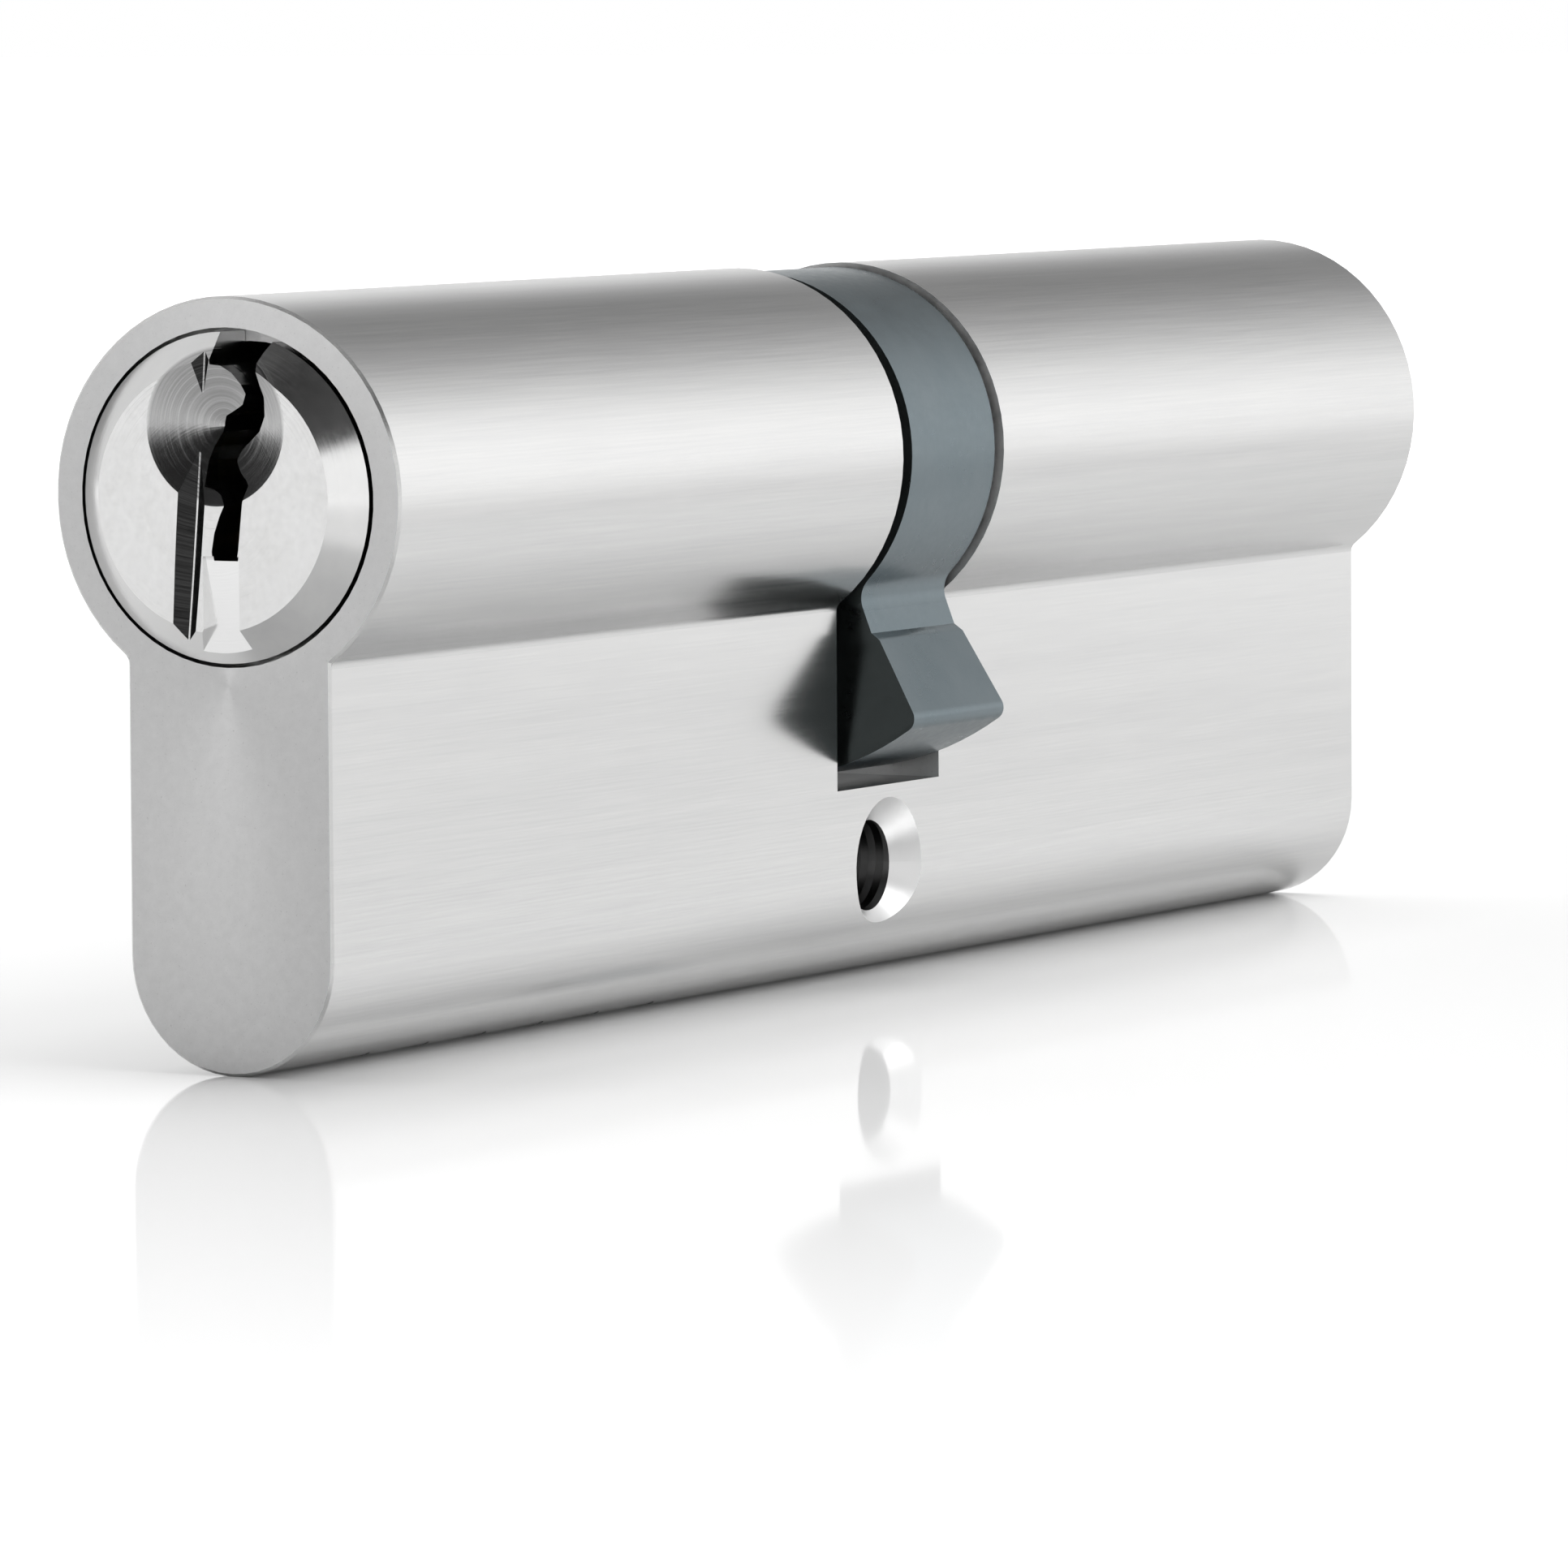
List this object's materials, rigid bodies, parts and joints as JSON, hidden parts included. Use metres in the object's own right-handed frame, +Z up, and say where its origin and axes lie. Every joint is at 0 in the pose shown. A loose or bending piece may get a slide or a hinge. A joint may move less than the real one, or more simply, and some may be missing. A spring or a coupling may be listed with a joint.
{
  "type": "euro profile double cylinder lock",
  "caption": "Keyed lock cylinder of euro profile for a mortice door lock: pear-shaped housing, a keyed core at each end, pin stacks, couplers and one central cam.",
  "frame": {"origin": "centre of the fixing-screw hole, on the housing's middle planes", "axes": "+X along the barrel from the front core to the rear core, +Y along the fixing screw, +Z up from the web's foot to the barrel"},
  "size_m": [0.1024, 0.0172, 0.033],
  "materials": {
    "nickel_satin": "satin nickel plate on brass, finely brushed",
    "nickel_bright": "bright nickel plate on brass",
    "cam_steel": "blue-grey sintered steel",
    "pin_brass": "turned brass",
    "pin_steel": "turned steel",
    "spring_steel": "drawn spring wire"
  },
  "bodies": {
    "housing": {"housing": "nickel_satin", "chamber_plugs_front": "nickel_satin", "chamber_plugs_rear": "nickel_satin", "spring_f1": "spring_steel", "spring_f2": "spring_steel", "spring_f3": "spring_steel", "spring_f4": "spring_steel", "spring_f5": "spring_steel", "spring_f6": "spring_steel", "spring_r1": "spring_steel", "spring_r2": "spring_steel", "spring_r3": "spring_steel", "spring_r4": "spring_steel", "spring_r5": "spring_steel", "spring_r6": "spring_steel"},
    "core_front": {"core_front": "nickel_bright", "circlip_front": "spring_steel"},
    "core_rear": {"core_rear": "nickel_bright", "circlip_rear": "spring_steel"},
    "cam": {"cam": "cam_steel"},
    "coupler_front": {"coupler_front": "cam_steel"},
    "coupler_rear": {"coupler_rear": "cam_steel"},
    "driver_pin_f1": {"driver_pin_f1": "pin_steel"},
    "driver_pin_f2": {"driver_pin_f2": "pin_steel"},
    "driver_pin_f3": {"driver_pin_f3": "pin_steel"},
    "driver_pin_f4": {"driver_pin_f4": "pin_steel"},
    "driver_pin_f5": {"driver_pin_f5": "pin_steel"},
    "driver_pin_f6": {"driver_pin_f6": "pin_steel"},
    "driver_pin_r1": {"driver_pin_r1": "pin_steel"},
    "driver_pin_r2": {"driver_pin_r2": "pin_steel"},
    "driver_pin_r3": {"driver_pin_r3": "pin_steel"},
    "driver_pin_r4": {"driver_pin_r4": "pin_steel"},
    "driver_pin_r5": {"driver_pin_r5": "pin_steel"},
    "driver_pin_r6": {"driver_pin_r6": "pin_steel"},
    "key_pin_f1": {"key_pin_f1": "pin_brass"},
    "key_pin_f2": {"key_pin_f2": "pin_brass"},
    "key_pin_f3": {"key_pin_f3": "pin_brass"},
    "key_pin_f4": {"key_pin_f4": "pin_brass"},
    "key_pin_f5": {"key_pin_f5": "pin_brass"},
    "key_pin_f6": {"key_pin_f6": "pin_brass"},
    "key_pin_r1": {"key_pin_r1": "pin_brass"},
    "key_pin_r2": {"key_pin_r2": "pin_brass"},
    "key_pin_r3": {"key_pin_r3": "pin_brass"},
    "key_pin_r4": {"key_pin_r4": "pin_brass"},
    "key_pin_r5": {"key_pin_r5": "pin_brass"},
    "key_pin_r6": {"key_pin_r6": "pin_brass"}
  },
  "joints": [
    {"name": "core_front_turn", "type": "hinge", "parent": "housing", "child": "core_front", "pos_m": [0, 0, 0.0192], "axis": [1, 0, 0], "continuous": true},
    {"name": "cam_turn", "type": "hinge", "parent": "housing", "child": "cam", "pos_m": [0, 0, 0.0192], "axis": [1, 0, 0], "continuous": true},
    {"name": "core_rear_turn", "type": "hinge", "parent": "housing", "child": "core_rear", "pos_m": [0, 0, 0.0192], "axis": [1, 0, 0], "continuous": true},
    {"name": "coupler_front_slide", "type": "slide", "parent": "core_front", "child": "coupler_front", "axis": [1, 0, 0], "range_m": [-0.00155, 0]},
    {"name": "coupler_rear_slide", "type": "slide", "parent": "core_rear", "child": "coupler_rear", "axis": [1, 0, 0], "range_m": [-0.00155, 0]},
    {"name": "driver_pin_f1_slide", "type": "slide", "parent": "housing", "child": "driver_pin_f1", "axis": [0, 0, 1], "range_m": [-0.0022, 0], "stiffness_N_per_m": 150, "springref_m": 0.0015, "deforming": ["spring_f1"]},
    {"name": "driver_pin_f2_slide", "type": "slide", "parent": "housing", "child": "driver_pin_f2", "axis": [0, 0, 1], "range_m": [-0.0022, 0], "stiffness_N_per_m": 150, "springref_m": 0.0015, "deforming": ["spring_f2"]},
    {"name": "driver_pin_f3_slide", "type": "slide", "parent": "housing", "child": "driver_pin_f3", "axis": [0, 0, 1], "range_m": [-0.0022, 0], "stiffness_N_per_m": 150, "springref_m": 0.0015, "deforming": ["spring_f3"]},
    {"name": "driver_pin_f4_slide", "type": "slide", "parent": "housing", "child": "driver_pin_f4", "axis": [0, 0, 1], "range_m": [-0.0022, 0], "stiffness_N_per_m": 150, "springref_m": 0.0015, "deforming": ["spring_f4"]},
    {"name": "driver_pin_f5_slide", "type": "slide", "parent": "housing", "child": "driver_pin_f5", "axis": [0, 0, 1], "range_m": [-0.0022, 0], "stiffness_N_per_m": 150, "springref_m": 0.0015, "deforming": ["spring_f5"]},
    {"name": "driver_pin_f6_slide", "type": "slide", "parent": "housing", "child": "driver_pin_f6", "axis": [0, 0, 1], "range_m": [-0.0022, 0], "stiffness_N_per_m": 150, "springref_m": 0.0015, "deforming": ["spring_f6"]},
    {"name": "driver_pin_r1_slide", "type": "slide", "parent": "housing", "child": "driver_pin_r1", "axis": [0, 0, 1], "range_m": [-0.0022, 0], "stiffness_N_per_m": 150, "springref_m": 0.0015, "deforming": ["spring_r1"]},
    {"name": "driver_pin_r2_slide", "type": "slide", "parent": "housing", "child": "driver_pin_r2", "axis": [0, 0, 1], "range_m": [-0.0022, 0], "stiffness_N_per_m": 150, "springref_m": 0.0015, "deforming": ["spring_r2"]},
    {"name": "driver_pin_r3_slide", "type": "slide", "parent": "housing", "child": "driver_pin_r3", "axis": [0, 0, 1], "range_m": [-0.0022, 0], "stiffness_N_per_m": 150, "springref_m": 0.0015, "deforming": ["spring_r3"]},
    {"name": "driver_pin_r4_slide", "type": "slide", "parent": "housing", "child": "driver_pin_r4", "axis": [0, 0, 1], "range_m": [-0.0022, 0], "stiffness_N_per_m": 150, "springref_m": 0.0015, "deforming": ["spring_r4"]},
    {"name": "driver_pin_r5_slide", "type": "slide", "parent": "housing", "child": "driver_pin_r5", "axis": [0, 0, 1], "range_m": [-0.0022, 0], "stiffness_N_per_m": 150, "springref_m": 0.0015, "deforming": ["spring_r5"]},
    {"name": "driver_pin_r6_slide", "type": "slide", "parent": "housing", "child": "driver_pin_r6", "axis": [0, 0, 1], "range_m": [-0.0022, 0], "stiffness_N_per_m": 150, "springref_m": 0.0015, "deforming": ["spring_r6"]},
    {"name": "key_pin_f1_slide", "type": "slide", "parent": "core_front", "child": "key_pin_f1", "axis": [0, 0, 1], "range_m": [0, 0.0023]},
    {"name": "key_pin_f2_slide", "type": "slide", "parent": "core_front", "child": "key_pin_f2", "axis": [0, 0, 1], "range_m": [0, 0.0032]},
    {"name": "key_pin_f3_slide", "type": "slide", "parent": "core_front", "child": "key_pin_f3", "axis": [0, 0, 1], "range_m": [0, 0.0017]},
    {"name": "key_pin_f4_slide", "type": "slide", "parent": "core_front", "child": "key_pin_f4", "axis": [0, 0, 1], "range_m": [0, 0.0029]},
    {"name": "key_pin_f5_slide", "type": "slide", "parent": "core_front", "child": "key_pin_f5", "axis": [0, 0, 1], "range_m": [0, 0.002]},
    {"name": "key_pin_f6_slide", "type": "slide", "parent": "core_front", "child": "key_pin_f6", "axis": [0, 0, 1], "range_m": [0, 0.0035]},
    {"name": "key_pin_r1_slide", "type": "slide", "parent": "core_rear", "child": "key_pin_r1", "axis": [0, 0, 1], "range_m": [0, 0.0023]},
    {"name": "key_pin_r2_slide", "type": "slide", "parent": "core_rear", "child": "key_pin_r2", "axis": [0, 0, 1], "range_m": [0, 0.0032]},
    {"name": "key_pin_r3_slide", "type": "slide", "parent": "core_rear", "child": "key_pin_r3", "axis": [0, 0, 1], "range_m": [0, 0.0017]},
    {"name": "key_pin_r4_slide", "type": "slide", "parent": "core_rear", "child": "key_pin_r4", "axis": [0, 0, 1], "range_m": [0, 0.0029]},
    {"name": "key_pin_r5_slide", "type": "slide", "parent": "core_rear", "child": "key_pin_r5", "axis": [0, 0, 1], "range_m": [0, 0.002]},
    {"name": "key_pin_r6_slide", "type": "slide", "parent": "core_rear", "child": "key_pin_r6", "axis": [0, 0, 1], "range_m": [0, 0.0035]}
  ],
  "couplings": [
    {"joint": "cam_turn", "follows": "core_front_turn", "ratio": 1},
    {"joint": "coupler_rear_slide", "follows": "coupler_front_slide", "ratio": 1}
  ]
}
